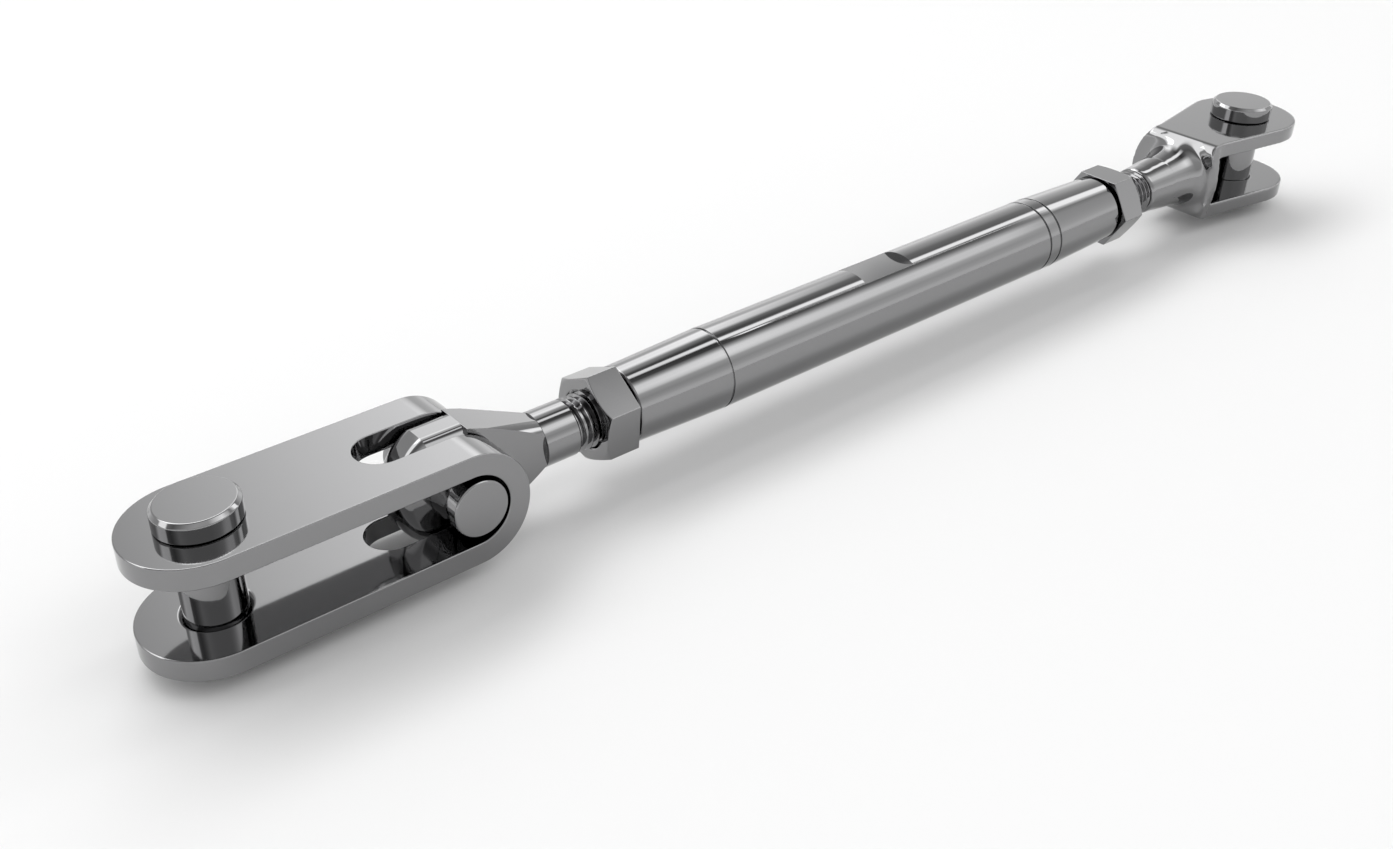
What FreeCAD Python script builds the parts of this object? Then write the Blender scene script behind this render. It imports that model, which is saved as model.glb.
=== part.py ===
import FreeCAD, Part
import math
import os
import Sketcher

# Rigging screw with a closed body: a right-hand eye stud carrying a U-shaped toggle at one end and a
# left-hand stud with a forged fork at the other, each with a lock nut, a clevis pin and a split pin.
#
# Frame, in millimetres: the origin is the middle of the toggle's jaw, on its clevis pin. The screw axis
# is X and runs from the toggle to the fork. The toggle's clevis pin stands along Z with its head up,
# and the fork with its pin is turned from that by a few degrees about X.
# Threads are left as plain cylinders with a running clearance.

DRIVING_SIZES = {
    # threads and running fits
    "thread_radius": 10.0,
    "running_clearance": 0.05,
    "seat_clearance": 0.25,
    "stud_end_chamfer": 1.5,
    # body
    "body_length": 262.0,
    "body_radius": 15.5,
    "body_end_radius": 14.3,
    "taper_length": 40.4,
    "end_bevel": 0.6,
    "threaded_depth": 50.0,
    "relief_radius": 10.8,
    "ring_width": 1.0,
    "ring_depth": 0.5,
    "ring_spacing": 6.5,
    "flat_length": 25.0,
    "flat_across": 27.0,
    "flat_centre": -3.7,
    # lock nuts
    "nut_across": 29.6,
    "nut_thickness": 13.0,
    "nut_gap": 1.5,
    "nut_face_margin": 0.3,
    "nut_crown_drop": 1.45,
    "nut_countersink": 1.0,
    "near_nut_turn": 37.0,
    "far_nut_turn": 4.5,
    # toggle strap
    "strap_half_height": 19.7,
    "strap_thickness": 7.5,
    "strap_width": 47.5,
    "strap_reach": 80.7,
    "slot_width": 18.4,
    "slot_from_pin": 50.8,
    "hole_bevel": 0.9,
    # cross pin and eye
    "cross_pin_radius": 9.9,
    "pin_end_bevel": 0.5,
    "eye_from_body": 70.7,
    "eye_nose_radius": 21.4,
    "eye_half_height": 19.6,
    "eye_thickness": 16.4,
    "eye_rim_length": 6.5,
    "eye_rim_rounding": 5.5,
    "eye_neck_length": 38.0,
    "neck_corner_radius": 31.0,
    "eye_thread_inside": 80.0,
    # clevis pins, shared by both ends
    "pin_radius": 10.0,
    "pin_tail": 6.8,
    "pin_tail_bevel": 1.0,
    "head_bevel": 1.2,
    "toggle_head_radius": 12.9,
    "toggle_head_height": 6.6,
    "fork_head_radius": 12.6,
    "fork_head_height": 6.4,
    # split pins
    "split_radius": 1.6,
    "split_clearance": 0.1,
    "split_edge": 3.1,
    "split_eye_radius": 2.6,
    "split_leg_past": 1.2,
    "split_bend_radius": 3.0,
    "split_bend_angle": 70.0,
    # fork
    "fork_turn": 4.0,
    "fork_from_body": 107.5,
    "fork_half_height": 18.2,
    "fork_thickness": 6.8,
    "fork_web_back": 46.5,
    "fork_web_thickness": 5.5,
    "fork_web_bulge": 2.5,
    "fork_corner_radius": 5.0,
    "fork_throat_radius": 4.0,
    "fork_tip_radius": 22.9,
    "fork_waist_half_width": 16.2,
    "fork_waist_radius": 30.0,
    "fork_neck_radius": 11.0,
    "fork_neck_end": 77.5,
    "fork_flare_radius": 7.0,
    "fork_flare_rise": 4.0,
    "fork_flare_seat": 1.0,
    "fork_thread_inside": 80.0,
}

MARGIN = 5.0

doc = FreeCAD.newDocument("RiggingScrew")
sheet = doc.addObject("Spreadsheet::Sheet", "Sizes")


class Size:
    """A length with its present value and the spreadsheet expression that gives it."""

    def __init__(self, value, text=None):
        self.value = float(value)
        self.text = text if text is not None else repr(float(value))

    @staticmethod
    def of(other):
        return other if isinstance(other, Size) else Size(other)

    def __add__(self, other):
        other = Size.of(other)
        return Size(self.value + other.value, f"({self.text} + {other.text})")

    def __radd__(self, other):
        return Size.of(other) + self

    def __sub__(self, other):
        other = Size.of(other)
        return Size(self.value - other.value, f"({self.text} - {other.text})")

    def __rsub__(self, other):
        return Size.of(other) - self

    def __mul__(self, other):
        other = Size.of(other)
        return Size(self.value * other.value, f"({self.text} * {other.text})")

    def __rmul__(self, other):
        return Size.of(other) * self

    def __truediv__(self, other):
        other = Size.of(other)
        return Size(self.value / other.value, f"({self.text} / {other.text})")

    def __neg__(self):
        return Size(-self.value, f"(-1 * {self.text})")

    def root(self):
        return Size(math.sqrt(self.value), f"sqrt({self.text})")


class Sizes:
    """The driving dimensions as attributes, each bound to its cell."""


def fill_sheet():
    """Writes every driving dimension into the sheet and returns them as bound sizes."""
    sizes = Sizes()
    for row, (name, value) in enumerate(DRIVING_SIZES.items(), start=1):
        sheet.set(f"A{row}", name)
        sheet.set(f"B{row}", str(value))
        sheet.setAlias(f"B{row}", name)
        setattr(sizes, name, Size(value, f"Sizes.{name}"))
    doc.recompute()
    return sizes


S = fill_sheet()
ZERO = Size(0)

# Places along the axis and heights that several pieces share.
BODY_END = S.body_length / 2
NUT_FACE = BODY_END + S.nut_gap
TOGGLE_PIN_X = ZERO
CROSS_PIN_X = TOGGLE_PIN_X + S.strap_reach
BODY_X = CROSS_PIN_X + S.eye_from_body + BODY_END
FORK_PIN_X = BODY_X + BODY_END + S.fork_from_body
BORE_RADIUS = S.thread_radius + S.running_clearance
STRAP_INNER = S.strap_half_height - S.strap_thickness
BEND_FROM_CROSS_PIN = STRAP_INNER - S.cross_pin_radius - S.running_clearance
BEND_FROM_TOGGLE_PIN = S.strap_reach - BEND_FROM_CROSS_PIN
FORK_INNER = S.fork_half_height - S.fork_thickness
FORK_THROAT_X = S.fork_web_thickness - S.fork_web_back
PIN_HOLE_RADIUS = S.pin_radius + S.running_clearance


def bind(obj, path, size):
    """Ties one property or constraint of an object to its expression."""
    obj.setExpression(path, Size.of(size).text)


def new_body(label, x, roll=None):
    """A body placed along the axis and rolled about it by an angle."""
    body = doc.addObject("PartDesign::Body", label)
    body.Label = label
    if roll is not None:
        body.Placement.Rotation = FreeCAD.Rotation(FreeCAD.Vector(1, 0, 0), roll.value)
        bind(body, "Placement.Rotation.Angle", roll)
    bind(body, "Placement.Base.x", x)
    return body


def origin_item(body, role):
    """The body's own origin plane or axis with the given role."""
    return next(item for item in body.Origin.OriginFeatures if item.Role == role)


def new_sketch(body, name, plane, offset=ZERO):
    """A sketch on one of the body's origin planes, moved along the plane's normal."""
    sketch = body.newObject("Sketcher::SketchObject", name)
    sketch.AttachmentSupport = [(origin_item(body, plane), "")]
    sketch.MapMode = "FlatFace"
    bind(sketch, "AttachmentOffset.Base.z", offset)
    return sketch


def pin_point(sketch, edge, end, x, y):
    """Holds one end of an edge at its distances from the sketch's origin."""
    for kind, size in (("DistanceX", x), ("DistanceY", y)):
        size = Size.of(size)
        index = sketch.addConstraint(Sketcher.Constraint(kind, -1, 1, edge, end, size.value))
        bind(sketch, f"Constraints[{index}]", size)


def hold_radius(sketch, edge, radius):
    """Holds an arc's or a circle's radius."""
    index = sketch.addConstraint(Sketcher.Constraint("Radius", edge, radius.value))
    bind(sketch, f"Constraints[{index}]", radius)


def arc_between(start, end, radius):
    """The short arc from start to end. A positive radius turns left on the way, a negative one right."""
    half = (end - start) * 0.5
    rise = math.sqrt(max(radius * radius - half.Length ** 2, 0.0))
    left = FreeCAD.Vector(-half.y, half.x, 0).normalize()
    centre = start + half + left * (rise if radius > 0 else -rise)
    first = math.atan2(start.y - centre.y, start.x - centre.x)
    last = math.atan2(end.y - centre.y, end.x - centre.x)
    if radius < 0:
        first, last = last, first
    circle = Part.Circle(centre, FreeCAD.Vector(0, 0, 1), abs(radius))
    return Part.ArcOfCircle(circle, first, last)


def add_outline(sketch, points, arcs=None):
    """Draws a closed outline.

    points are (x, y) sizes in order. arcs maps the number of an edge to its radius, positive for an
    arc that turns left on its way, negative for one that turns right.
    """
    arcs = arcs or {}
    places = [FreeCAD.Vector(Size.of(x).value, Size.of(y).value, 0) for x, y in points]
    edges = []
    for number, start in enumerate(places):
        end = places[(number + 1) % len(places)]
        if number in arcs:
            signed = arcs[number]
            edge = sketch.addGeometry(arc_between(start, end, signed.value), False)
            hold_radius(sketch, edge, signed if signed.value > 0 else -signed)
            ends = (1, 2) if signed.value > 0 else (2, 1)
        else:
            edge = sketch.addGeometry(Part.LineSegment(start, end), False)
            ends = (1, 2)
        edges.append((edge, ends))
    for number, (edge, ends) in enumerate(edges):
        before, ends_before = edges[number - 1]
        sketch.addConstraint(Sketcher.Constraint("Coincident", before, ends_before[1], edge, ends[0]))
        pin_point(sketch, edge, ends[0], *points[number])


def add_circle(sketch, x, y, radius):
    """Draws a circle held by its centre and radius."""
    centre = FreeCAD.Vector(Size.of(x).value, Size.of(y).value, 0)
    edge = sketch.addGeometry(Part.Circle(centre, FreeCAD.Vector(0, 0, 1), radius.value), False)
    pin_point(sketch, edge, 3, x, y)
    hold_radius(sketch, edge, radius)


def add_box_outline(sketch, x_low, x_high, y_low, y_high):
    """Draws a rectangle from its four sides."""
    add_outline(sketch, [(x_low, y_low), (x_high, y_low), (x_high, y_high), (x_low, y_high)])


def pad(body, name, sketch, length, symmetric=False, reverse=False):
    """Extrudes a sketch."""
    feature = body.newObject("PartDesign::Pad", name)
    feature.Profile = sketch
    feature.SideType = "Symmetric" if symmetric else "One side"
    feature.Reversed = reverse
    bind(feature, "Length", length)
    return feature


def cut_through(body, name, sketch):
    """Cuts a sketch through the whole body, both ways."""
    feature = body.newObject("PartDesign::Pocket", name)
    feature.Profile = sketch
    feature.SideType = "Symmetric"
    feature.Type = "ThroughAll"
    return feature


def turn(body, name, sketch, axis, cut=False, angle=None):
    """Turns a sketch about one of its own axes, adding or cutting."""
    feature = body.newObject("PartDesign::Groove" if cut else "PartDesign::Revolution", name)
    feature.Profile = sketch
    feature.ReferenceAxis = (sketch, [axis])
    if angle is None:
        feature.Angle = 360
    else:
        bind(feature, "Angle", angle)
    return feature


def dress(body, name, kind, base, size, wanted):
    """A fillet or chamfer on the edges of the last feature that the test picks."""
    doc.recompute()
    edges = [f"Edge{n}" for n, edge in enumerate(base.Shape.Edges, start=1) if wanted(edge)]
    feature = body.newObject(f"PartDesign::{kind}", name)
    feature.Base = (base, edges)
    bind(feature, "Radius" if kind == "Fillet" else "Size", size)
    return feature


def is_circle_at(edge, axis, place, radius, slack=0.01):
    """True for a round edge of the given radius in the plane across the axis at the given place."""
    if not isinstance(edge.Curve, Part.Circle) or abs(edge.Curve.Radius - radius) > slack:
        return False
    return abs(getattr(edge.Curve.Center, axis) - place) < slack


def bevel_holes(body, base, radius, faces):
    """Bevels the rims of the pin holes where they meet the given Z faces."""
    rims = [face.value for face in faces]

    def is_rim(edge):
        return any(is_circle_at(edge, "z", rim, radius.value) for rim in rims)

    return dress(body, body.Label + "_hole_bevel", "Chamfer", base, S.hole_bevel, is_rim)


def u_outline(length, bend_x, outer, inner):
    """The side view of a bar bent to a U that opens towards -X, as points and arcs."""
    points = [
        (length, outer), (length, inner), (bend_x, inner), (bend_x + inner, ZERO),
        (bend_x, -inner), (length, -inner), (length, -outer), (bend_x, -outer),
        (bend_x + outer, ZERO), (bend_x, outer),
    ]
    return points, {2: -inner, 3: -inner, 7: outer, 8: outer}


def make_strap():
    """The toggle strap: a flat bar bent to a U, slotted for the eye and drilled for the pin."""
    label = "toggle_strap"
    body = new_body(label, TOGGLE_PIN_X)
    half_width = S.strap_width / 2
    bend_x = BEND_FROM_TOGGLE_PIN
    side = new_sketch(body, "strap_side", "XZ_Plane")
    points, arcs = u_outline(-half_width, bend_x, S.strap_half_height, STRAP_INNER)
    add_outline(side, points, arcs)
    pad(body, "strap_bar", side, S.strap_width, symmetric=True)
    ends = new_sketch(body, "strap_end_outline", "XY_Plane")
    outside = -(half_width + MARGIN)
    add_outline(
        ends,
        [(ZERO, half_width), (-half_width, ZERO), (ZERO, -half_width),
         (ZERO, outside), (outside, outside), (outside, -outside), (ZERO, -outside)],
        {0: half_width, 1: half_width},
    )
    cut_through(body, "strap_round_ends", ends)
    slot = new_sketch(body, "strap_slot_outline", "XY_Plane")
    half_slot = S.slot_width / 2
    slot_start = S.slot_from_pin + half_slot
    past_bend = bend_x + S.strap_half_height + MARGIN
    add_outline(
        slot,
        [(past_bend, half_slot), (slot_start, half_slot), (S.slot_from_pin, ZERO),
         (slot_start, -half_slot), (past_bend, -half_slot)],
        {1: half_slot, 2: half_slot},
    )
    cut_through(body, "strap_slot", slot)
    hole = new_sketch(body, "strap_hole_circle", "XY_Plane")
    add_circle(hole, ZERO, ZERO, PIN_HOLE_RADIUS)
    holes = cut_through(body, "strap_holes", hole)
    bevel_holes(body, holes, PIN_HOLE_RADIUS, (STRAP_INNER, -STRAP_INNER, -S.strap_half_height))
    return body


def make_clevis_pin(label, x, half_height, head_radius, head_height, roll=None):
    """A headed pin through both plates, with a cross hole for its split pin."""
    body = new_body(label, x, roll)
    under_head = half_height + S.seat_clearance
    top = under_head + head_height
    tail = -(half_height + S.pin_tail)
    bevel = S.pin_tail_bevel
    rounding = S.head_bevel
    profile = new_sketch(body, label + "_profile", "XZ_Plane")
    add_outline(profile, [
        (ZERO, tail), (S.pin_radius - bevel, tail), (S.pin_radius, tail + bevel),
        (S.pin_radius, under_head), (head_radius, under_head), (head_radius, top - rounding),
        (head_radius - rounding, top), (ZERO, top),
    ])
    turn(body, label + "_turned", profile, "V_Axis")
    hole = new_sketch(body, label + "_cross_hole", "XZ_Plane")
    add_circle(hole, ZERO, split_pin_height(half_height), S.split_radius + S.split_clearance)
    cut_through(body, label + "_hole", hole)
    return body


def split_pin_height(half_height):
    """Height of a split pin's axis on its clevis pin."""
    return -(half_height + S.split_edge)


def make_split_pin(label, x, half_height, roll=None):
    """A split pin along Y: a round eye, two half-round legs side by side and their bent tips."""
    body = new_body(label, x, roll)
    height = split_pin_height(half_height)
    wire = S.split_radius
    ring_wire = wire / 2
    leg_end = S.pin_radius + S.split_leg_past
    ring_centre = S.pin_radius + S.split_eye_radius + ring_wire
    shank = new_sketch(body, label + "_shank_circle", "XZ_Plane", leg_end)
    add_circle(shank, ZERO, height, wire)
    pad(body, label + "_shank", shank, leg_end + S.pin_radius + ring_wire, reverse=True)
    ring = new_sketch(body, label + "_ring_section", "XZ_Plane", -ring_centre)
    add_circle(ring, S.split_eye_radius, height, ring_wire)
    turn(body, label + "_ring", ring, "V_Axis")
    leg = new_sketch(body, label + "_leg_section", "XZ_Plane", leg_end)
    add_outline(
        leg, [(ZERO, height - wire), (wire, height), (ZERO, height + wire)], {0: wire, 1: wire}
    )
    bend_axis = leg.addGeometry(Part.LineSegment(*bend_axis_ends(height)), True)
    for end, place in ((1, height), (2, height + wire)):
        pin_point(leg, bend_axis, end, wire + S.split_bend_radius, place)
    bent = turn(body, label + "_bent_leg", leg, "Axis0", angle=S.split_bend_angle)
    other = body.newObject("PartDesign::Mirrored", label + "_other_leg")
    other.Originals = [bent]
    other.MirrorPlane = (origin_item(body, "YZ_Plane"), [""])
    body.Tip = other
    return body


def bend_axis_ends(height):
    """Ends of the upright line that a split pin's leg is bent round."""
    x = (S.split_radius + S.split_bend_radius).value
    foot = FreeCAD.Vector(x, height.value, 0)
    return foot, foot + FreeCAD.Vector(0, S.split_radius.value, 0)


def make_cross_pin():
    """The plain pin that joins eye and strap, its ends flush with the strap's sides."""
    body = new_body("cross_pin", CROSS_PIN_X)
    half_length = S.strap_width / 2
    bevel = S.pin_end_bevel
    radius = S.cross_pin_radius
    profile = new_sketch(body, "cross_pin_profile", "XY_Plane")
    add_outline(profile, [
        (ZERO, -half_length), (radius - bevel, -half_length), (radius, -half_length + bevel),
        (radius, half_length - bevel), (radius - bevel, half_length), (ZERO, half_length),
    ])
    turn(body, "cross_pin_turned", profile, "V_Axis")
    return body


def tangent_arc_radius(run, rise):
    """Radius of the arc that leaves a line at a tangent and climbs by rise over run."""
    return (run * run + rise * rise) / (2 * rise)


def make_eye_stud():
    """The eye stud: a flat-sided eye with rounded rims, a swept neck and a right-hand thread."""
    body = new_body("eye_stud", CROSS_PIN_X)
    nose = S.eye_nose_radius
    top = S.eye_half_height
    corner = (nose * nose - top * top).root()
    rim_end = S.eye_rim_length
    neck_end = S.eye_neck_length
    radius = S.thread_radius
    sweep = tangent_arc_radius(neck_end - rim_end, top - radius)
    side = new_sketch(body, "eye_side", "XZ_Plane")
    add_outline(
        side,
        [(-corner, top), (-nose, ZERO), (-corner, -top), (rim_end, -top), (neck_end, -radius),
         (neck_end, radius), (rim_end, top)],
        {0: nose, 1: nose, 3: -sweep, 5: -sweep},
    )
    plate = pad(body, "eye_plate", side, S.eye_thickness, symmetric=True)

    def is_rim(edge):
        on_face = abs(abs(edge.CenterOfMass.y) - S.eye_thickness.value / 2) < 0.01
        return on_face and edge.BoundBox.XMax < rim_end.value + 0.01

    dress(body, "eye_rims", "Fillet", plate, S.eye_rim_rounding, is_rim)
    corners = new_sketch(body, "neck_corner_outline", "XZ_Plane")
    clear = top + MARGIN
    round_off = S.neck_corner_radius
    drop = round_off - (clear - radius)
    corner_start = neck_end - (round_off * round_off - drop * drop).root()
    add_outline(
        corners, [(corner_start, clear), (neck_end, radius), (neck_end, clear)], {0: round_off}
    )
    turn(body, "neck_corners", corners, "H_Axis", cut=True)
    shank = new_sketch(body, "stud_profile", "XZ_Plane")
    stud_end = S.eye_from_body + S.eye_thread_inside
    bevel = S.stud_end_chamfer
    add_outline(shank, [
        (neck_end, ZERO), (stud_end, ZERO), (stud_end, radius - bevel), (stud_end - bevel, radius),
        (neck_end, radius),
    ])
    turn(body, "stud_shank", shank, "H_Axis")
    hole = new_sketch(body, "eye_hole_circle", "XZ_Plane")
    add_circle(hole, ZERO, ZERO, S.cross_pin_radius + S.running_clearance)
    cut_through(body, "eye_hole", hole)
    return body


def make_lock_nut(label, side, roll):
    """A hexagon nut with a crowned and countersunk outer face. side is -1 near, +1 far."""
    body = new_body(label, BODY_X + side * NUT_FACE, roll)
    corner = S.nut_across / math.sqrt(3)
    hexagon = new_sketch(body, label + "_hexagon", "YZ_Plane")
    angles = [math.radians(60 * step) for step in range(6)]
    add_outline(hexagon, [(corner * math.cos(turned), corner * math.sin(turned)) for turned in angles])
    pad(body, label + "_blank", hexagon, S.nut_thickness, reverse=side < 0)
    crown = new_sketch(body, label + "_crown_outline", "XZ_Plane")
    face = side * S.nut_thickness
    face_radius = S.nut_across / 2 - S.nut_face_margin
    clear = corner + MARGIN
    drop = S.nut_crown_drop * (clear - face_radius) / (corner - face_radius)
    add_outline(crown, [(face, face_radius), (face, clear), (face - side * drop, clear)])
    turn(body, label + "_crown", crown, "H_Axis", cut=True)
    bore = new_sketch(body, label + "_bore_circle", "YZ_Plane")
    add_circle(bore, ZERO, ZERO, BORE_RADIUS)
    bored = cut_through(body, label + "_bore", bore)

    def is_mouth(edge):
        return is_circle_at(edge, "x", face.value, BORE_RADIUS.value)

    dress(body, label + "_countersink", "Chamfer", bored, S.nut_countersink, is_mouth)
    return body


def make_body():
    """The closed body: tapered ends, three turned marks, two spanner flats and a threaded bore."""
    body = new_body("screw_body", BODY_X)
    end = BODY_END
    bevel = S.end_bevel
    thread_end = end - S.threaded_depth
    relief = S.relief_radius
    relief_start = thread_end - (relief - BORE_RADIUS)
    taper_start = end - S.taper_length
    half = [
        (end, BORE_RADIUS), (end, S.body_end_radius - bevel), (end - bevel, S.body_end_radius),
        (taper_start, S.body_radius),
    ]
    inside = [(relief_start, relief), (thread_end, BORE_RADIUS)]
    profile = new_sketch(body, "body_profile", "XZ_Plane")
    left = [(-x, z) for x, z in half]
    left_inside = [(-x, z) for x, z in inside]
    add_outline(profile, left + half[::-1] + inside[::-1] + left_inside)
    turn(body, "body_turned", profile, "H_Axis")
    rings = new_sketch(body, "ring_outlines", "XZ_Plane")
    half_ring = S.ring_width / 2
    for centre in (-taper_start, taper_start, taper_start - S.ring_spacing):
        add_box_outline(
            rings, centre - half_ring, centre + half_ring,
            S.body_radius - S.ring_depth, S.body_radius + MARGIN,
        )
    turn(body, "rings", rings, "H_Axis", cut=True)
    flats = new_sketch(body, "flat_outlines", "XZ_Plane")
    low = S.flat_centre - S.flat_length / 2
    high = S.flat_centre + S.flat_length / 2
    flat = S.flat_across / 2
    clear = S.body_radius + MARGIN
    add_box_outline(flats, low, high, flat, clear)
    add_box_outline(flats, low, high, -clear, -flat)
    cut_through(body, "spanner_flats", flats)
    return body


def add_arc(sketch, centre, radius, first, last):
    """Draws an arc about a held centre, from one angle to another in degrees, anticlockwise."""
    x, y = centre
    middle = FreeCAD.Vector(Size.of(x).value, Size.of(y).value, 0)
    circle = Part.Circle(middle, FreeCAD.Vector(0, 0, 1), radius.value)
    edge = sketch.addGeometry(
        Part.ArcOfCircle(circle, math.radians(first), math.radians(last)), False
    )
    pin_point(sketch, edge, 3, x, y)
    hold_radius(sketch, edge, radius)
    return edge


def arc_end(sketch, edge, end):
    """Where an edge of a sketch starts (1) or ends (2)."""
    return sketch.getPoint(edge, end)


def add_fork_plan(sketch):
    """Draws what is cut away round the fork's plates: a round tip, straight flanks and a waist."""
    waist_y = S.fork_waist_half_width + S.fork_waist_radius
    side = S.fork_tip_radius + MARGIN
    flank = 11.0
    tip = add_arc(sketch, (ZERO, ZERO), S.fork_tip_radius, -90 - flank, 90 + flank)
    upper = add_arc(sketch, (FORK_THROAT_X, waist_y), S.fork_waist_radius, 270, 270 + flank)
    lower = add_arc(sketch, (FORK_THROAT_X, -waist_y), S.fork_waist_radius, 90 - flank, 90)
    for waist, waist_end, tip_end in ((upper, 2, 2), (lower, 1, 1)):
        ends = arc_end(sketch, waist, waist_end), arc_end(sketch, tip, tip_end)
        line = sketch.addGeometry(Part.LineSegment(*ends), False)
        sketch.addConstraint(Sketcher.Constraint("Tangent", waist, waist_end, line, 1))
        sketch.addConstraint(Sketcher.Constraint("Tangent", line, 2, tip, tip_end))
    frame = [(FORK_THROAT_X, side), (side, side), (side, -side), (FORK_THROAT_X, -side)]
    places = [FreeCAD.Vector(x.value, y.value, 0) for x, y in frame]
    starts = [arc_end(sketch, upper, 1)] + places
    ends = places + [arc_end(sketch, lower, 2)]
    lines = [
        sketch.addGeometry(Part.LineSegment(start, end), False) for start, end in zip(starts, ends)
    ]
    for line, next_line, place in zip(lines, lines[1:], frame):
        sketch.addConstraint(Sketcher.Constraint("Coincident", line, 2, next_line, 1))
        pin_point(sketch, line, 2, *place)
    sketch.addConstraint(Sketcher.Constraint("Coincident", upper, 1, lines[0], 1))
    sketch.addConstraint(Sketcher.Constraint("Vertical", lines[0]))
    sketch.addConstraint(Sketcher.Constraint("Coincident", lower, 2, lines[-1], 2))
    sketch.addConstraint(Sketcher.Constraint("Vertical", lines[-1]))


def add_fork_side(sketch):
    """Draws the fork's side view: a square U with rounded corners that opens towards +X."""
    tip = S.fork_tip_radius + MARGIN / 2
    outer = S.fork_half_height
    inner = FORK_INNER
    back = -S.fork_web_back
    throat = FORK_THROAT_X
    bend = S.fork_corner_radius
    hollow = S.fork_throat_radius
    points = [
        (tip, inner), (tip, outer), (back + bend, outer), (back, outer - bend),
        (back, bend - outer), (back + bend, -outer), (tip, -outer), (tip, -inner),
        (throat + hollow, -inner), (throat, hollow - inner), (throat, inner - hollow),
        (throat + hollow, inner),
    ]
    add_outline(sketch, points, {2: bend, 4: bend, 8: -hollow, 10: -hollow})


def add_web_sides(sketch):
    """Draws what is cut away beside the fork's web, whose sides bulge between the plates."""
    edge = S.fork_waist_half_width
    clear = S.fork_tip_radius + MARGIN
    top = S.fork_half_height + MARGIN
    radius = tangent_arc_radius(FORK_INNER, S.fork_web_bulge)
    for side in (1, -1):
        heights = [-side * top, -side * FORK_INNER, side * FORK_INNER, side * top]
        points = [(side * edge, height) for height in heights]
        add_outline(sketch, points + [(side * clear, side * top), (side * clear, -side * top)], {1: radius})


def make_fork_stud():
    """The forged fork with its flared round neck and left-hand thread, in one piece."""
    body = new_body("fork_stud", FORK_PIN_X, S.fork_turn)
    side = new_sketch(body, "fork_side", "XZ_Plane")
    add_fork_side(side)
    pad(body, "fork_bar", side, 2 * (S.fork_tip_radius + MARGIN / 2), symmetric=True)
    plan = new_sketch(body, "fork_plan", "XY_Plane")
    add_fork_plan(plan)
    cut_through(body, "fork_shaped", plan)
    web = new_sketch(body, "fork_web_sides", "YZ_Plane", FORK_THROAT_X)
    add_web_sides(web)
    beside = body.newObject("PartDesign::Pocket", "fork_web_shaped")
    beside.Profile = web
    beside.SideType = "One side"
    beside.Type = "ThroughAll"
    hole = new_sketch(body, "fork_hole_circle", "XY_Plane")
    add_circle(hole, ZERO, ZERO, PIN_HOLE_RADIUS)
    holes = cut_through(body, "fork_holes", hole)
    bevel_holes(body, holes, PIN_HOLE_RADIUS, (FORK_INNER, -FORK_INNER, -S.fork_half_height))
    neck = new_sketch(body, "fork_neck_profile", "XZ_Plane")
    radius = S.thread_radius
    neck_radius = S.fork_neck_radius
    bevel = S.stud_end_chamfer
    stud_end = -(S.fork_from_body + S.fork_thread_inside)
    step = neck_radius - radius
    seat = S.fork_flare_seat - S.fork_web_back
    flare = S.fork_flare_radius
    rise = S.fork_flare_rise
    run = (flare * flare - (flare - rise) * (flare - rise)).root()
    points = [
        (stud_end, ZERO), (seat, ZERO), (seat, neck_radius + rise), (seat - run, neck_radius),
        (step - S.fork_neck_end, neck_radius), (-S.fork_neck_end, radius),
        (stud_end + bevel, radius), (stud_end, radius - bevel),
    ]
    add_outline(neck, points, {2: -flare})
    turn(body, "fork_neck", neck, "H_Axis")
    return body


def make_pieces():
    """Every piece of the rigging screw, from the toggle to the fork."""
    strap_height = S.strap_half_height
    fork_height = S.fork_half_height
    return [
        make_strap(),
        make_clevis_pin(
            "toggle_pin", TOGGLE_PIN_X, strap_height, S.toggle_head_radius, S.toggle_head_height
        ),
        make_split_pin("toggle_split_pin", TOGGLE_PIN_X, strap_height),
        make_cross_pin(),
        make_eye_stud(),
        make_lock_nut("near_lock_nut", -1, S.near_nut_turn),
        make_body(),
        make_lock_nut("far_lock_nut", 1, S.far_nut_turn),
        make_fork_stud(),
        make_clevis_pin(
            "fork_pin", FORK_PIN_X, fork_height, S.fork_head_radius, S.fork_head_height, S.fork_turn
        ),
        make_split_pin("fork_split_pin", FORK_PIN_X, fork_height, S.fork_turn),
    ]


def failed_objects():
    """Names of the document's objects that did not recompute."""
    return [obj.Name for obj in doc.Objects if "Invalid" in obj.State or "Error" in obj.State]


def export(pieces):
    """Checks every piece and writes it to its own file."""
    doc.recompute()
    failed = failed_objects()
    if failed:
        raise RuntimeError("not recomputed: " + ", ".join(failed))
    for piece in pieces:
        if piece.Shape.isNull() or not piece.Shape.isValid():
            raise RuntimeError("bad shape: " + piece.Label)
    os.makedirs("parts", exist_ok=True)
    for piece in pieces:
        piece.Shape.exportStep(os.path.join("parts", piece.Label + ".step"))


export(make_pieces())
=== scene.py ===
"""Dresses the rigging screw: real edges, cut threads, polished steel and a pale studio."""

import logging
import math
from dataclasses import dataclass
from enum import Enum
from typing import Sequence

import bmesh
import bpy
from mathutils import Matrix, Vector


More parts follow.
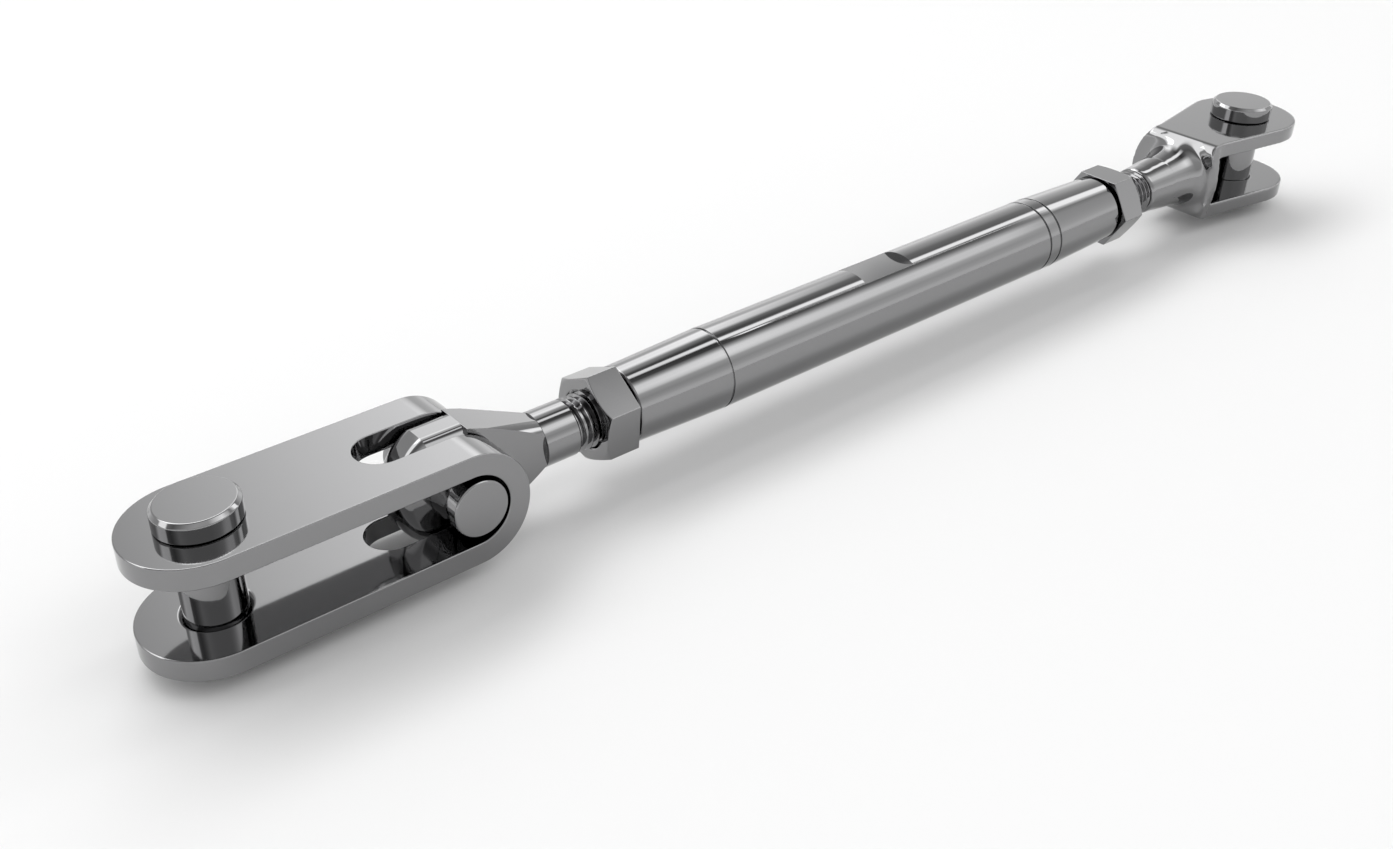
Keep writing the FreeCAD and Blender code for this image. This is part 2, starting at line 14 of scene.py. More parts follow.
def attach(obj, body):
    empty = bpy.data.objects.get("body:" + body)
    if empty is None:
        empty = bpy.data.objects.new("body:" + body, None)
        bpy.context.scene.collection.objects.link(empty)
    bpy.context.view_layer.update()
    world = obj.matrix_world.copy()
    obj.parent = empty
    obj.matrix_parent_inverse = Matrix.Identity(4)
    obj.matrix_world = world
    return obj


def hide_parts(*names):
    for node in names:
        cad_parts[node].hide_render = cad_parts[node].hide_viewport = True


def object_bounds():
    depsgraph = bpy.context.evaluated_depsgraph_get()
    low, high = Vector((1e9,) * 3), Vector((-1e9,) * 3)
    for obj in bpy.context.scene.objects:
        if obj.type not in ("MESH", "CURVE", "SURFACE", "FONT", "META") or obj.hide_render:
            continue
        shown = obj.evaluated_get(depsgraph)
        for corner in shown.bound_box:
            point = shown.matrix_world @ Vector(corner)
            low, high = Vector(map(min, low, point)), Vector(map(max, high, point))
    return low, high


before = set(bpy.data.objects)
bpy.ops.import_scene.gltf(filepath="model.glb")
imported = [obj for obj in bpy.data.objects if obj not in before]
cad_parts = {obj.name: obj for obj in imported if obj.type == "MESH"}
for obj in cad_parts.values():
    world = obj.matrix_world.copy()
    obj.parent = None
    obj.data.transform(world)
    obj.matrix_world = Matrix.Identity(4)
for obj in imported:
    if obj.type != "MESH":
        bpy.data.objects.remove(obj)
CAD_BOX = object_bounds()

MM = 0.001
FULL_TURN = 2 * math.pi
SPIN_STEPS = 180
MERGE_MM = 0.0005
ON_PLANE_MM = 0.01
STRAIGHT_DEGREES = 8
SHARE_OF_SIDE = 0.45
LINE_STRETCH = (90.0, 1400.0, 1400.0)
LINE_DETAIL = 3.0
CLOUD_SCALE = 70.0
CLOUD_DETAIL = 4.0

Point = tuple[float, float]
Place = tuple[float, float, float]

log = logging.getLogger("rigging_screw")


class Axis(Enum):
    """The frame's three directions."""

    X = (1.0, 0.0, 0.0)
    Y = (0.0, 1.0, 0.0)
    Z = (0.0, 0.0, 1.0)

    @property
    def vector(self) -> Vector:
        """The axis as a vector."""
        return Vector(self.value)

    def place(self, along: float, out: float) -> Vector:
        """A point at a distance along the axis and another out from it.

        Args:
            along: distance along the axis, in millimetres.
            out: distance from the axis, in millimetres.

        Returns:
            The point, in a half plane through the axis.
        """
        side = Axis.Z if self is Axis.X else Axis.X
        return self.vector * along + side.vector * out

    def lift(self, across: float, up: float) -> Vector:
        """A point of a flat outline that is seen along this axis.

        Args:
            across: the first of the two other coordinates, in millimetres.
            up: the second of them, in millimetres.

        Returns:
            The point in the plane through the origin.
        """
        if self is Axis.X:
            return Vector((0.0, across, up))
        if self is Axis.Y:
            return Vector((across, 0.0, up))
        return Vector((across, up, 0.0))


class Cut(Enum):
    """What a second solid does to the first."""

    REMOVE = "DIFFERENCE"
    KEEP = "INTERSECT"
    ADD = "UNION"


class Slot(Enum):
    """The record's material slots."""

    POLISHED = "polished_steel"
    WIRE = "pin_wire"


class Hand(Enum):
    """Which way a thread climbs along +X."""

    RIGHT = 1
    LEFT = -1


def arc(centre: Point, radius: float, first: float, last: float, steps: int) -> list[Point]:
    """Points round an arc.

    Args:
        centre: the arc's centre.
        radius: its radius.
        first: its first angle, in degrees.
        last: its last angle, in degrees.
        steps: how many chords it is divided into.

    Returns:
        The points, both ends among them.
    """
    angles = [math.radians(first + (last - first) * step / steps) for step in range(steps + 1)]
    return [(centre[0] + radius * math.cos(a), centre[1] + radius * math.sin(a)) for a in angles]


def rounded(
    points: Sequence[Point], radius: float, steps: int = 4, closed: bool = False
) -> list[Point]:
    """Rounds the corners of a profile.

    Args:
        points: the corners.
        radius: the reach of the rounding along each side, in millimetres.
        steps: chords in each rounding.
        closed: whether the last corner joins the first.

    Returns:
        The profile with a rounding at each corner that turns.
    """
    made: list[Point] = []
    count = len(points)
    for number, corner in enumerate(points):
        here = Vector(corner)
        back = Vector(points[number - 1]) - here
        ahead = Vector(points[(number + 1) % count]) - here
        at_end = not closed and number in (0, count - 1)
        if at_end or math.pi - back.angle(ahead) < math.radians(STRAIGHT_DEGREES):
            made.append(corner)
            continue
        reach = min(radius, SHARE_OF_SIDE * back.length, SHARE_OF_SIDE * ahead.length)
        start, end = here + back.normalized() * reach, here + ahead.normalized() * reach
        for step in range(steps + 1):
            share = step / steps
            bend = start.lerp(here, share).lerp(here.lerp(end, share), share)
            made.append((bend.x, bend.y))
    return made


def lathe(profile: Sequence[Point], axis: Axis, closed: bool = False) -> bmesh.types.BMesh:
    """Turns a profile once round an axis through the origin.

    Args:
        profile: (along, radius) points, in millimetres.
        axis: the axis of the turning.
        closed: whether the profile's last point joins its first, as round a bore.

    Returns:
        The turned mesh.
    """
    bm = bmesh.new()
    verts = [bm.verts.new(axis.place(along, radius)) for along, radius in profile]
    pairs = list(zip(verts, verts[1:]))
    if closed:
        pairs.append((verts[-1], verts[0]))
    edges = [bm.edges.new(pair) for pair in pairs]
    bmesh.ops.spin(
        bm, geom=verts + edges, cent=(0, 0, 0), axis=axis.vector, dvec=(0, 0, 0),
        angle=FULL_TURN, steps=SPIN_STEPS, use_merge=True, use_duplicate=False,
    )
    bmesh.ops.remove_doubles(bm, verts=bm.verts, dist=MERGE_MM)
    bmesh.ops.recalc_face_normals(bm, faces=bm.faces)
    return bm


def prism(outline: Sequence[Point], axis: Axis, low: float, high: float) -> bmesh.types.BMesh:
    """Extrudes a flat outline along an axis.

    Args:
        outline: the corners, seen along the axis, in millimetres.
        axis: the direction of the extrusion.
        low: where it starts along the axis.
        high: where it ends.

    Returns:
        The closed mesh.
    """
    bm = bmesh.new()
    verts = [bm.verts.new(axis.lift(*point) + axis.vector * low) for point in outline]
    face = bm.faces.new(verts)
    grown = bmesh.ops.extrude_face_region(bm, geom=[face], use_keep_orig=True)["geom"]
    moved = [item for item in grown if isinstance(item, bmesh.types.BMVert)]
    bmesh.ops.translate(bm, verts=moved, vec=axis.vector * (high - low))
    bmesh.ops.recalc_face_normals(bm, faces=bm.faces)
    return bm


def box(low: Sequence[float], high: Sequence[float]) -> bmesh.types.BMesh:
    """A block between two corners.

    Args:
        low: the lowest corner, in millimetres.
        high: the highest corner, in millimetres.

    Returns:
        The block's mesh.
    """
    (left, front, bottom), (right, back, top) = low, high
    corners = [(left, front), (right, front), (right, back), (left, back)]
    return prism(corners, Axis.Z, bottom, top)


def jaw_drill(
    outer: float, inner: float, radius: float, bevel: float, reach: float
) -> bmesh.types.BMesh:
    """A drill through both plates of a jaw, flared where it meets their faces.

    Args:
        outer: half the height over the plates, in millimetres.
        inner: half the height between them.
        radius: the hole's radius.
        bevel: the width of each flare.
        reach: how far the drill goes from the middle.

    Returns:
        The drill's closed mesh.
    """
    flared = radius + bevel
    return lathe([
        (-reach, 0), (-reach, flared), (-outer, flared), (bevel - outer, radius),
        (-inner - bevel, radius), (-inner, flared), (inner, flared), (inner + bevel, radius),
        (reach, radius), (reach, 0),
    ], Axis.Z)


def moved(bm: bmesh.types.BMesh, x: float, roll: float = 0.0) -> bmesh.types.BMesh:
    """Turns a mesh about the screw's axis and sets it at its place along it.

    Args:
        bm: the mesh, changed in place.
        x: how far it moves along the axis, in millimetres.
        roll: how far it turns, in degrees.

    Returns:
        The same mesh.
    """
    turn = Matrix.Rotation(math.radians(roll), 3, "X")
    bmesh.ops.rotate(bm, verts=bm.verts, cent=(0, 0, 0), matrix=turn)
    bmesh.ops.translate(bm, verts=bm.verts, vec=(x, 0, 0))
    return bm


def grey(level: float) -> tuple[float, float, float, float]:
    """An even grey of one level, as a node's colour."""
    return (level, level, level, 1.0)


def stand(name: str, data: bpy.types.ID) -> bpy.types.Object:
    """Puts an object with this data in the scene, at the origin."""
    made = bpy.data.objects.new(name, data)
    bpy.context.scene.collection.objects.link(made)
    return made


def piece_from(bm: bmesh.types.BMesh, name: str) -> bpy.types.Object:
    """Makes an object, in metres, of a finished mesh in millimetres.

    Args:
        bm: the mesh, used up.
        name: the object's name.

    Returns:
        The object, at the origin.
    """
    bmesh.ops.scale(bm, verts=bm.verts, vec=(MM, MM, MM))
    mesh = bpy.data.meshes.new(name)
    bm.to_mesh(mesh)
    bm.free()
    return stand(name, mesh)


def bake(piece: bpy.types.Object) -> None:
    """Turns a piece's modifiers into its mesh."""
    depsgraph = bpy.context.evaluated_depsgraph_get()
    mesh = bpy.data.meshes.new_from_object(piece.evaluated_get(depsgraph))
    piece.modifiers.clear()
    old = piece.data
    piece.data = mesh
    bpy.data.meshes.remove(old)


def carve(
    piece: bpy.types.Object, tool: bmesh.types.BMesh, cut: Cut = Cut.REMOVE
) -> None:
    """Cuts, keeps or adds where a second solid meets the piece.

    Args:
        piece: the piece, changed in place.
        tool: the second solid, used up.
        cut: what it does.
    """
    cutter = piece_from(tool, piece.name + "_cutter")
    boolean = piece.modifiers.new("carve", "BOOLEAN")
    boolean.operation = cut.value
    boolean.solver = "EXACT"
    boolean.object = cutter
    bake(piece)
    bpy.data.meshes.remove(cutter.data)


def ease_edges(
    piece: bpy.types.Object, width: float, angle: float = 30.0, segments: int = 3
) -> None:
    """Rounds a piece's sharp edges a little, as polishing does.

    Args:
        piece: the piece, changed in place.
        width: the rounding's width, in millimetres.
        angle: the least angle of an edge that is rounded, in degrees.
        segments: faces across the rounding.
    """
    bevel = piece.modifiers.new("eased", "BEVEL")
    bevel.width = width * MM
    bevel.segments = segments
    bevel.limit_method = "ANGLE"
    bevel.angle_limit = math.radians(angle)
    bevel.use_clamp_overlap = True
    bake(piece)


def trim(bm: bmesh.types.BMesh, x: float, keep_low: bool) -> bmesh.types.BMesh:
    """Cuts a closed mesh square across the screw's axis and closes the cut.

    Args:
        bm: the mesh, changed in place.
        x: where the cut lies, in millimetres.
        keep_low: whether the part with lower x stays.

    Returns:
        The same mesh.
    """
    geom = [*bm.verts, *bm.edges, *bm.faces]
    bmesh.ops.bisect_plane(
        bm, geom=geom, dist=MERGE_MM, plane_co=(x, 0, 0), plane_no=(1, 0, 0),
        clear_outer=keep_low, clear_inner=not keep_low,
    )
    rim = [
        edge for edge in bm.edges
        if edge.is_boundary and all(abs(vert.co.x - x) < ON_PLANE_MM for vert in edge.verts)
    ]
    bmesh.ops.holes_fill(bm, edges=rim, sides=0)
    bmesh.ops.recalc_face_normals(bm, faces=bm.faces)
    return bm


@dataclass(frozen=True)
class SteelFinish:
    """A finish of bright steel."""

    name: str
    slot: Slot
    colour: tuple[float, float, float]
    roughness: float
    grain: float
    haze: float
    relief: float = 0.05
    relief_height: float = 0.00001

    def material(self) -> bpy.types.Material:
        """The finish as a material, made once."""
        known = bpy.data.materials.get(self.name)
        return known if known is not None else self.build()

    def build(self) -> bpy.types.Material:
        """Makes the material's nodes."""
        material = bpy.data.materials.new(self.name)
        material.use_nodes = True
        tree = material.node_tree
        shader = next(node for node in tree.nodes if node.type == "BSDF_PRINCIPLED")
        shader.inputs["Metallic"].default_value = 1.0
        place = tree.nodes.new("ShaderNodeTexCoord")
        trace = tree.nodes.new("ShaderNodeGroup")
        trace.node_tree = polish_trace()
        trace.inputs["Colour"].default_value = (*self.colour, 1.0)
        trace.inputs["Roughness"].default_value = self.roughness
        trace.inputs["Grain"].default_value = self.grain
        trace.inputs["Haze"].default_value = self.haze
        bump = tree.nodes.new("ShaderNodeBump")
        bump.inputs["Strength"].default_value = self.relief
        bump.inputs["Distance"].default_value = self.relief_height
        tree.links.new(place.outputs["Object"], trace.inputs["Place"])
        tree.links.new(trace.outputs["Colour"], shader.inputs["Base Color"])
        tree.links.new(trace.outputs["Roughness"], shader.inputs["Roughness"])
        tree.links.new(trace.outputs["Height"], bump.inputs["Height"])
        tree.links.new(bump.outputs["Normal"], shader.inputs["Normal"])
        return material


def polish_trace() -> bpy.types.NodeTree:
    """The shared marks of polishing: faint haze, fine lines and their height.

    Returns:
        The node group, made once.
    """
    name = "polish_trace"
    known = bpy.data.node_groups.get(name)
    if known is not None:
        return known
    group = bpy.data.node_groups.new(name, "ShaderNodeTree")
    face = group.interface
    face.new_socket("Place", in_out="INPUT", socket_type="NodeSocketVector")
    face.new_socket("Colour", in_out="INPUT", socket_type="NodeSocketColor")
    for socket in ("Roughness", "Grain", "Haze"):
        face.new_socket(socket, in_out="INPUT", socket_type="NodeSocketFloat")
    face.new_socket("Colour", in_out="OUTPUT", socket_type="NodeSocketColor")
    for socket in ("Roughness", "Height"):
        face.new_socket(socket, in_out="OUTPUT", socket_type="NodeSocketFloat")
    nodes, links = group.nodes, group.links
    source = nodes.new("NodeGroupInput")
    result = nodes.new("NodeGroupOutput")
    stretch = nodes.new("ShaderNodeMapping")
    stretch.inputs["Scale"].default_value = LINE_STRETCH
    links.new(source.outputs["Place"], stretch.inputs["Vector"])
    lines = nodes.new("ShaderNodeTexNoise")
    lines.inputs["Scale"].default_value = 1.0
    lines.inputs["Detail"].default_value = LINE_DETAIL
    links.new(stretch.outputs["Vector"], lines.inputs["Vector"])
    clouds = nodes.new("ShaderNodeTexNoise")
    clouds.inputs["Scale"].default_value = CLOUD_SCALE
    clouds.inputs["Detail"].default_value = CLOUD_DETAIL
    links.new(source.outputs["Place"], clouds.inputs["Vector"])
    fine = scaled(group, lines.outputs["Fac"], source.outputs["Grain"])
    soft = scaled(group, clouds.outputs["Fac"], source.outputs["Haze"])
    marks = reckon(group, "ADD", fine, soft)
    rough = reckon(group, "ADD", marks, source.outputs["Roughness"])
    tint = nodes.new("ShaderNodeHueSaturation")
    links.new(reckon(group, "SUBTRACT", 1.0, soft), tint.inputs["Value"])
    links.new(source.outputs["Colour"], tint.inputs["Color"])
    links.new(tint.outputs["Color"], result.inputs["Colour"])
    links.new(rough, result.inputs["Roughness"])
    links.new(lines.outputs["Fac"], result.inputs["Height"])
    return group


def scaled(
    tree: bpy.types.NodeTree, noise: bpy.types.NodeSocket, amount: bpy.types.NodeSocket
) -> bpy.types.NodeSocket:
    """A noise taken about zero and scaled by an amount.

    Args:
        tree: the node tree that holds both.
        noise: a value from 0 to 1.
        amount: its new spread.

    Returns:
        The socket with the scaled value.
    """
    return reckon(tree, "MULTIPLY", reckon(tree, "SUBTRACT", noise, 0.5), amount)


def reckon(
    tree: bpy.types.NodeTree, operation: str,
    first: bpy.types.NodeSocket | float, second: bpy.types.NodeSocket | float,
) -> bpy.types.NodeSocket:
    """A sum, difference, product or the like of two values.

    Args:
        tree: the node tree.
        operation: the Math node's operation.
        first: the first value, or the socket that gives it.
        second: the second value, or the socket that gives it.

    Returns:
        The result's socket.
    """
    node = tree.nodes.new("ShaderNodeMath")
    node.operation = operation
    for socket, value in zip(node.inputs, (first, second)):
        if isinstance(value, float):
            socket.default_value = value
        else:
            tree.links.new(value, socket)
    return node.outputs[0]


MIRROR_STEEL = SteelFinish(
    "mirror_steel", Slot.POLISHED,
    colour=(0.255, 0.255, 0.258), roughness=0.065, grain=0.02, haze=0.03,
)
BRIGHT_WIRE = SteelFinish(
    "bright_wire", Slot.WIRE,
    colour=(0.38, 0.38, 0.384), roughness=0.2, grain=0.05, haze=0.04,
)


def dress(
    piece: bpy.types.Object, finish: SteelFinish, body: str, node: str, smooth: float = 32.0
) -> None:
    """Gives a finished piece its material, shading and body, in place of its node.

    Args:
        piece: the finished piece.
        finish: its finish.
        body: the body that it rides on.
        node: the node that it stands for.
        smooth: the least angle that stays sharp in the shading, in degrees.
    """
    mesh = piece.data
    mesh.materials.clear()
    mesh.materials.append(finish.material())
    mesh.shade_smooth()
    mesh.set_sharp_from_angle(angle=math.radians(smooth))
    weigh = piece.modifiers.new("weighted", "WEIGHTED_NORMAL")
    weigh.keep_sharp = True
    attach(piece, body)
    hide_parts(node)
    log.info("%s: %d faces on %s", piece.name, len(mesh.polygons), body)


def keep_node(node: str, finish: SteelFinish) -> None:
    """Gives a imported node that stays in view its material."""
    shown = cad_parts[node]
    shown.data.materials.clear()
    shown.data.materials.append(finish.material())


@dataclass
class Strap:
    """The toggle's U-shaped strap, bent of flat bar, slotted and drilled. Sizes in millimetres."""

    half_height: float = 19.7
    thickness: float = 7.5
    half_width: float = 23.75
    bend_x: float = 79.0
    slot_tip: float = 50.8
    slot_half: float = 9.2
    end_reach: float = 0.9
    hole_radius: float = 10.05
    hole_bevel: float = 1.3
    edge: float = 0.4
    clear: float = 12.0

    def build(self) -> None:
        """Bends, trims, slots and drills the bar."""
        outer, inner = self.half_height, self.half_height - self.thickness
        start = -self.half_width - self.clear
        side = [(start, outer), *arc((self.bend_x, 0), outer, 90, -90, 72), (start, -outer)]
        side += [(start, -inner), *arc((self.bend_x, 0), inner, -90, 90, 56), (start, inner)]
        half, wide = self.half_width, self.half_width + self.clear
        strap = piece_from(prism(side, Axis.Y, -wide, wide), "strap")
        end = self.bend_x + outer + self.clear
        plan = [(end, half), *arc((-self.end_reach, 0), half, 90, 270, 96), (end, -half)]
        carve(strap, prism(plan, Axis.Z, -wide, wide), Cut.KEEP)
        narrow = self.slot_half
        middle = self.slot_tip + narrow
        slot = [(end, narrow), *arc((middle, 0), narrow, 90, 270, 40), (end, -narrow)]
        carve(strap, prism(slot, Axis.Z, -wide, wide))
        carve(strap, jaw_drill(outer, inner, self.hole_radius, self.hole_bevel, wide))
        ease_edges(strap, self.edge)
        dress(strap, MIRROR_STEEL, "strap", "toggle_strap")


@dataclass
class ClevisPin:
    """A headed pin with a cross hole through its tail. Sizes in millimetres."""

    name: str
    node: str
    body: str
    x: float
    half_height: float
    head_radius: float
    head_height: float
    roll: float = 0.0
    radius: float = 10.0
    tail: float = 6.8
    tail_bevel: float = 1.0
    head_bevel: float = 1.25
    under_bevel: float = 0.35
    seat: float = 0.25
    split_edge: float = 3.1
    split_hole: float = 1.7
    lip_width: float = 0.4
    lip_depth: float = 0.6
    clear: float = 1.0
    rounding: float = 0.3

    def build(self) -> None:
        """Turns the pin, drills its tail and sets it in its jaw."""
        under, tail = self.half_height + self.seat, -self.half_height - self.tail
        top, wide = under + self.head_height, self.head_radius
        profile = rounded([
            (tail, 0), (tail, self.radius - self.tail_bevel), (tail + self.tail_bevel, self.radius),
            (under, self.radius), (under, wide - self.under_bevel), (under + self.under_bevel, wide),
            (top - self.head_bevel, wide), (top, wide - self.head_bevel), (top, 0),
        ], self.rounding)
        pin = piece_from(moved(lathe(profile, Axis.Z), self.x, self.roll), self.name)
        reach, bottom = self.radius + self.clear, self.radius - self.lip_depth
        lip, hole = self.split_hole + self.lip_width, self.split_hole
        drill = lathe([
            (-reach, 0), (-reach, lip), (-self.radius, lip), (-bottom, hole),
            (bottom, hole), (self.radius, lip), (reach, lip), (reach, 0),
        ], Axis.Y)
        bmesh.ops.translate(drill, verts=drill.verts, vec=(0, 0, -self.half_height - self.split_edge))
        carve(pin, moved(drill, self.x, self.roll))
        dress(pin, MIRROR_STEEL, self.body, self.node)


@dataclass
class CrossPin:
    """The plain pin through the strap's bend and the eye. Sizes in millimetres."""

    x: float = 80.7
    radius: float = 9.9
    half_length: float = 23.75
    bevel: float = 0.5
    rounding: float = 0.25

    def build(self) -> None:
        """Turns the pin and sets it in the bend."""
        end, radius, bevel = self.half_length, self.radius, self.bevel
        profile = rounded([
            (-end, 0), (-end, radius - bevel), (bevel - end, radius), (end - bevel, radius),
            (end, radius - bevel), (end, 0),
        ], self.rounding)
        pin = piece_from(moved(lathe(profile, Axis.Y), self.x), "cross_bolt")
        dress(pin, MIRROR_STEEL, "cross", "cross_pin")


@dataclass
class Thread:
    """A metric screw thread cut along the axis. Sizes in millimetres."""

    start: float
    end: float
    hand: Hand
    radius: float = 9.98
    pitch: float = 2.5
    depth: float = 1.53
    turn_steps: int = 48
    lead_turns: int = 2
    spare_turns: int = 3
    weld: float = 0.002

    def build(self) -> bmesh.types.BMesh:
        """Winds one pitch's profile along the axis and squares off both ends.

        Returns:
            The closed, threaded rod.
        """
        pitch, crest = self.pitch, self.radius
        root = crest - self.depth
        shape = [
            (0, root), (pitch / 8, root), (pitch * 7 / 16, crest), (pitch * 9 / 16, crest),
            (pitch * 7 / 8, root), (pitch, root),
        ]
        turns = math.ceil((self.end - self.start) / pitch) + self.spare_turns
        bm = bmesh.new()
        low = self.start - self.lead_turns * pitch
        verts = [bm.verts.new((low + along, 0, out)) for along, out in shape]
        edges = [bm.edges.new(pair) for pair in zip(verts, verts[1:])]
        step = Vector((pitch / self.turn_steps, 0, 0))
        bmesh.ops.spin(
            bm, geom=verts + edges, cent=(0, 0, 0), axis=(self.hand.value, 0, 0), dvec=step,
            angle=FULL_TURN, steps=self.turn_steps, use_merge=False, use_duplicate=False,
        )
        one_turn = [*bm.verts, *bm.edges, *bm.faces]
        for turn in range(1, turns):
            copied = bmesh.ops.duplicate(bm, geom=one_turn)["geom"]
            shifted = [item for item in copied if isinstance(item, bmesh.types.BMVert)]
            bmesh.ops.translate(bm, verts=shifted, vec=(turn * pitch, 0, 0))
        bmesh.ops.remove_doubles(bm, verts=bm.verts, dist=self.weld)
        trim(bm, self.start, keep_low=False)
        return trim(bm, self.end, keep_low=True)


def with_thread(piece: bpy.types.Object, thread: Thread) -> None:
    """Joins a cut thread to the shank that it runs out of.

    Args:
        piece: the forging with its plain shank, changed in place.
        thread: the thread.
    """
    rod = piece_from(thread.build(), piece.name + "_thread")
    joined = bmesh.new()
    joined.from_mesh(piece.data)
    joined.from_mesh(rod.data)
    bpy.data.meshes.remove(rod.data)
    joined.to_mesh(piece.data)
    joined.free()


@dataclass
class EyeEnd:
    """The forged eye, its tapered neck and its stud, in one piece. Sizes in millimetres."""

    thread: Thread
    x: float = 80.7
    nose: float = 21.4
    half_height: float = 19.6
    thickness: float = 16.4
    rim_length: float = 6.5
    rim_rounding: float = 5.5
    rim_steps: int = 10
    neck_length: float = 34.8
    neck_half: float = 9.4
    turned_from: float = 13.5
    turned_radius: float = 18.9
    shank: float = 10.0
    under: float = 9.9
    run_out: float = 0.9
    hole: float = 10.0
    edge: float = 0.3
    overlap: float = 0.5
    neck_tip: float = 2.0
    relief: float = 3.0
    clear_share: float = 1.5

    def ring(self, bm: bmesh.types.BMesh, inset: float, y: float) -> list[bmesh.types.BMEdge]:
        """Draws the eye's outline at one depth.

        Args:
            bm: the mesh it is drawn in.
            inset: how far the outline lies inside the widest one.
            y: its place across the eye.

        Returns:
            The outline's edges.
        """
        radius, high = self.nose - inset, self.half_height - inset
        turn = math.degrees(math.acos(-math.sqrt(radius ** 2 - high ** 2) / radius))
        nose = arc((0, 0), radius, turn, 360 - turn, 64)
        outline = [*nose, (self.rim_length, -high), (self.rim_length, high)]
        verts = [bm.verts.new((x, y, z)) for x, z in outline]
        return [bm.edges.new(pair) for pair in zip(verts, verts[1:] + verts[:1])]

    def head(self) -> bmesh.types.BMesh:
        """The flat-sided eye, bridged from outlines so that its rims are round."""
        bm = bmesh.new()
        half, rim = self.thickness / 2, self.rim_rounding
        steps = self.rim_steps
        turns = [math.radians(90 * step / steps) for step in range(steps + 1)]
        levels = [
            (rim - rim * math.sin(turn), rim - rim * math.cos(turn) - half) for turn in turns
        ]
        levels += [(inset, -y) for inset, y in reversed(levels)]
        rings = [self.ring(bm, inset, y) for inset, y in levels]
        for one, two in zip(rings, rings[1:]):
            bmesh.ops.bridge_loops(bm, edges=one + two)
        bmesh.ops.holes_fill(bm, edges=rings[0] + rings[-1], sides=0)
        bmesh.ops.recalc_face_normals(bm, faces=bm.faces)
        return bm

    def neck(self) -> bmesh.types.BMesh:
        """The flat-sided neck that tapers to the shank."""
        high, end, half = self.half_height, self.neck_length, self.thickness / 2
        start, tip, core = self.rim_length - self.overlap, end + self.neck_tip, self.shank / 2
        outline = [
            (start, -high), (self.rim_length, -high), (end, -self.neck_half), (tip, -core),
            (tip, core), (end, self.neck_half), (self.rim_length, high), (start, high),
        ]
        return prism(outline, Axis.Y, -half, half)

    def build(self) -> None:
        """Forges the eye, turns its neck down to the shank and cuts the thread."""
        eye = piece_from(moved(self.head(), self.x), "eye_end")
        carve(eye, moved(self.neck(), self.x), Cut.ADD)
        reach = self.thickness
        hole = lathe([(-reach, 0), (-reach, self.hole), (reach, self.hole), (reach, 0)], Axis.Y)
        carve(eye, moved(hole, self.x))
        neck, clear = self.neck_length, self.nose * self.clear_share
        past = neck + self.relief
        turned = lathe([
            (self.turned_from, self.turned_radius), (neck, self.under), (past, self.under),
            (past, clear), (self.turned_from, clear),
        ], Axis.X, closed=True)
        carve(eye, moved(turned, self.x))
        stop = self.thread.start - self.x
        shank = lathe([
            (neck, 0), (neck, self.shank), (stop - self.run_out, self.shank),
            (stop, self.shank - self.run_out), (stop, 0),
        ], Axis.X)
        carve(eye, moved(shank, self.x), Cut.ADD)
        ease_edges(eye, self.edge, angle=20.0)
        with_thread(eye, self.thread)
        dress(eye, MIRROR_STEEL, "eye", "eye_stud")


